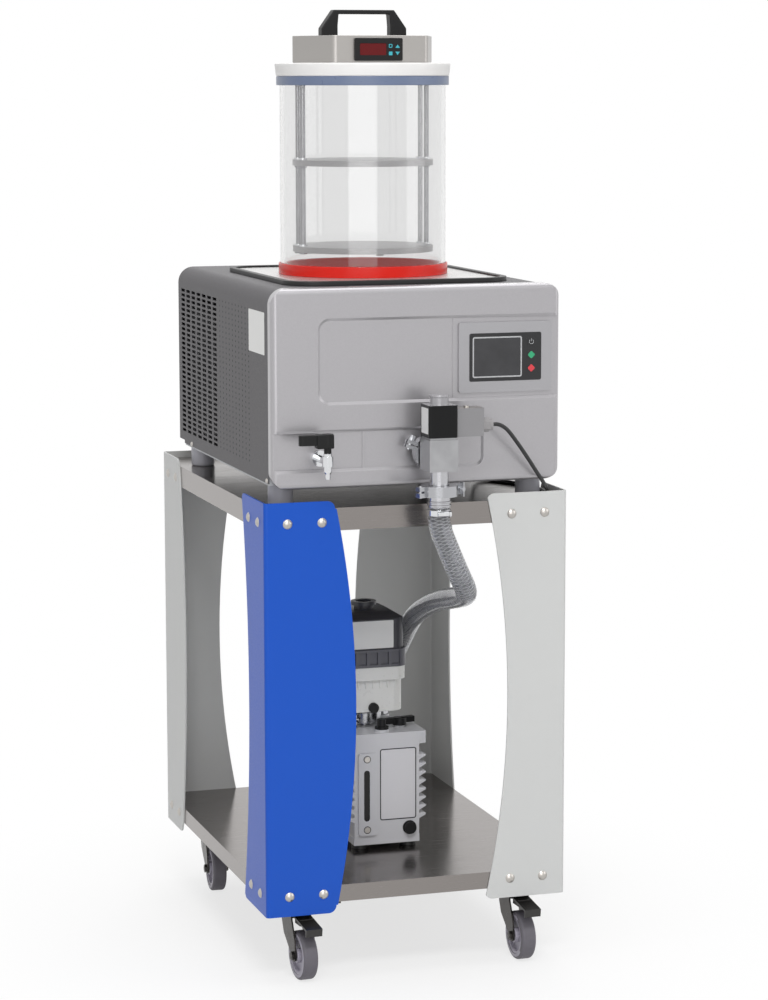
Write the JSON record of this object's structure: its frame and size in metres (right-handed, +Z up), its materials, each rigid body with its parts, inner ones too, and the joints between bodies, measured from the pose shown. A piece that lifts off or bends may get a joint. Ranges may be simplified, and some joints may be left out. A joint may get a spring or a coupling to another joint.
{
  "type": "freeze dryer",
  "caption": "Bench freeze dryer with a clear drying chamber, lidded and racked, on a castor trolley that carries its vacuum pump, mist filter and hose.",
  "frame": {"origin": "on the floor, under the centre of the whole object", "axes": "+X to the right seen from the front, -Y is the front, +Z up"},
  "size_m": [0.4832, 0.7316, 1.458],
  "materials": {
    "blue_enamel": "satin powder coat",
    "grey_enamel": "fine textured powder coat",
    "mirror_steel": "polished stainless sheet",
    "bolt_steel": "polished stainless fasteners",
    "castor_steel": "zinc plated pressing",
    "castor_tyre": "grey thermoplastic rubber",
    "pedal_steel": "black passivated pressing",
    "cover_enamel": "dark grey textured powder coat",
    "fascia_plastic": "moulded plastic, silver paint",
    "galvanised_sheet": "galvanised sheet",
    "foot_plastic": "moulded pale grey plastic",
    "frame_anodised": "anodised frame",
    "screen_glass": "display window",
    "black_plastic": "moulded black plastic",
    "black_rubber": "extruded black rubber",
    "brushed_plate": "brushed stainless sheet",
    "well_steel": "drawn stainless pot",
    "copper_tube": "stainless tube",
    "compressor_paint": "black enamel",
    "fin_aluminium": "rolled fin stock",
    "red_rubber": "moulded red silicone rubber",
    "clear_acrylic": "cast clear acrylic tube",
    "grey_rubber": "moulded blue silicone",
    "lid_plastic": "turned white plastic",
    "brushed_steel_box": "brushed stainless box",
    "disc_steel": "machined plate",
    "chrome_plate": "chromium plated brass",
    "valve_aluminium": "machined block",
    "plug_plastic": "moulded grey plastic",
    "cable_pvc": "black sheath",
    "fitting_steel": "turned stainless fittings",
    "clamp_aluminium": "cast clamp",
    "hose_pvc": "clear hose with a wire helix",
    "pump_enamel": "grey enamel on cast aluminium",
    "oil_glass": "framed sight glass",
    "filter_clear": "translucent moulded bowl",
    "filter_grey": "moulded dark grey plastic"
  },
  "bodies": {
    "root": {"post_front_left": "blue_enamel", "post_front_right": "grey_enamel", "post_rear_left": "grey_enamel", "post_rear_right": "grey_enamel", "upper_shelf": "mirror_steel", "lower_shelf": "mirror_steel", "post_bolts": "bolt_steel", "castor_plates": "castor_steel", "chassis_base": "galvanised_sheet", "housing_cover": "cover_enamel", "rear_panel": "cover_enamel", "front_panel": "fascia_plastic", "top_plate": "brushed_plate", "top_gasket": "black_rubber", "unit_feet": "foot_plastic", "control_panel": "frame_anodised", "panel_screen": "screen_glass", "mains_inlet": "black_plastic", "condenser_well": "well_steel", "evaporator_coil": "copper_tube", "compressor": "compressor_paint", "heat_exchanger": "fin_aluminium", "base_seal": "red_rubber", "clear_cylinder": "clear_acrylic", "lid_seal": "grey_rubber", "lid_plate": "lid_plastic", "lid_housing": "brushed_steel_box", "lid_controller": "black_plastic", "lid_handle": "black_plastic", "rack_rods": "fitting_steel", "rack_discs": "disc_steel", "tap_body": "chrome_plate", "valve_block": "valve_aluminium", "valve_coil": "black_plastic", "valve_plug": "plug_plastic", "valve_cable": "cable_pvc", "vacuum_fittings": "fitting_steel", "pipe_clamps": "clamp_aluminium", "vacuum_hose": "hose_pvc", "pump_body": "pump_enamel", "pump_motor": "pump_enamel", "pump_feet": "black_rubber", "pump_plugs": "black_plastic", "oil_window": "oil_glass", "filter_bowl": "filter_clear", "filter_cap": "filter_grey"},
    "swivel_front_left": {"castor_fork_front_left": "castor_steel"},
    "wheel_front_left": {"castor_wheel_front_left": "castor_tyre"},
    "pedal_front_left": {"brake_pedal_front_left": "pedal_steel"},
    "swivel_front_right": {"castor_fork_front_right": "castor_steel"},
    "wheel_front_right": {"castor_wheel_front_right": "castor_tyre"},
    "pedal_front_right": {"brake_pedal_front_right": "pedal_steel"},
    "swivel_rear_left": {"castor_fork_rear_left": "castor_steel"},
    "wheel_rear_left": {"castor_wheel_rear_left": "castor_tyre"},
    "swivel_rear_right": {"castor_fork_rear_right": "castor_steel"},
    "wheel_rear_right": {"castor_wheel_rear_right": "castor_tyre"},
    "fan": {"fan_rotor": "black_plastic"},
    "tap_handle": {"tap_lever": "black_plastic"},
    "ballast_knob": {"gas_ballast_knob": "black_plastic"},
    "rocker": {"pump_switch": "black_plastic"}
  },
  "joints": [
    {"name": "swivel_turn_front_left", "type": "hinge", "parent": "root", "child": "swivel_front_left", "pos_m": [-0.176, -0.223, 0.107], "axis": [0, 0, 1], "continuous": true},
    {"name": "wheel_roll_front_left", "type": "hinge", "parent": "swivel_front_left", "child": "wheel_front_left", "pos_m": [-0.17363, -0.25692, 0.0375], "axis": [0.9976, 0.0698, 0], "continuous": true},
    {"name": "brake_press_front_left", "type": "hinge", "parent": "swivel_front_left", "child": "pedal_front_left", "pos_m": [-0.17502, -0.23697, 0.095], "axis": [0.9976, 0.0698, 0], "range_deg": [0, 12]},
    {"name": "swivel_turn_front_right", "type": "hinge", "parent": "root", "child": "swivel_front_right", "pos_m": [0.176, -0.223, 0.107], "axis": [0, 0, 1], "continuous": true},
    {"name": "wheel_roll_front_right", "type": "hinge", "parent": "swivel_front_right", "child": "wheel_front_right", "pos_m": [0.17719, -0.25698, 0.0375], "axis": [0.9994, 0.0349, 0], "continuous": true},
    {"name": "brake_press_front_right", "type": "hinge", "parent": "swivel_front_right", "child": "pedal_front_right", "pos_m": [0.17649, -0.23699, 0.095], "axis": [0.9994, 0.0349, 0], "range_deg": [0, 12]},
    {"name": "swivel_turn_rear_left", "type": "hinge", "parent": "root", "child": "swivel_rear_left", "pos_m": [-0.176, 0.299, 0.107], "axis": [0, 0, 1], "continuous": true},
    {"name": "wheel_roll_rear_left", "type": "hinge", "parent": "swivel_rear_left", "child": "wheel_rear_left", "pos_m": [-0.17778, 0.26505, 0.0375], "axis": [0.9986, -0.0523, 0], "continuous": true},
    {"name": "swivel_turn_rear_right", "type": "hinge", "parent": "root", "child": "swivel_rear_right", "pos_m": [0.176, 0.299, 0.107], "axis": [0, 0, 1], "continuous": true},
    {"name": "wheel_roll_rear_right", "type": "hinge", "parent": "swivel_rear_right", "child": "wheel_rear_right", "pos_m": [0.17955, 0.26519, 0.0375], "axis": [0.9945, 0.1045, 0], "continuous": true},
    {"name": "fan_spin", "type": "hinge", "parent": "root", "child": "fan", "pos_m": [-0.16, 0.149, 0.88], "axis": [1, 0, 0], "continuous": true},
    {"name": "tap_turn", "type": "hinge", "parent": "root", "child": "tap_handle", "pos_m": [-0.152, -0.326, 0.824], "axis": [0, 0, 1], "range_deg": [0, 90]},
    {"name": "gas_ballast_turn", "type": "hinge", "parent": "root", "child": "ballast_knob", "pos_m": [0.042, -0.062, 0.344], "axis": [0, 0, 1], "range_deg": [0, 120]},
    {"name": "pump_switch_tip", "type": "hinge", "parent": "root", "child": "rocker", "pos_m": [0.0085, 0.198, 0.321], "axis": [1, 0, 0], "range_deg": [-14, 0]}
  ]
}
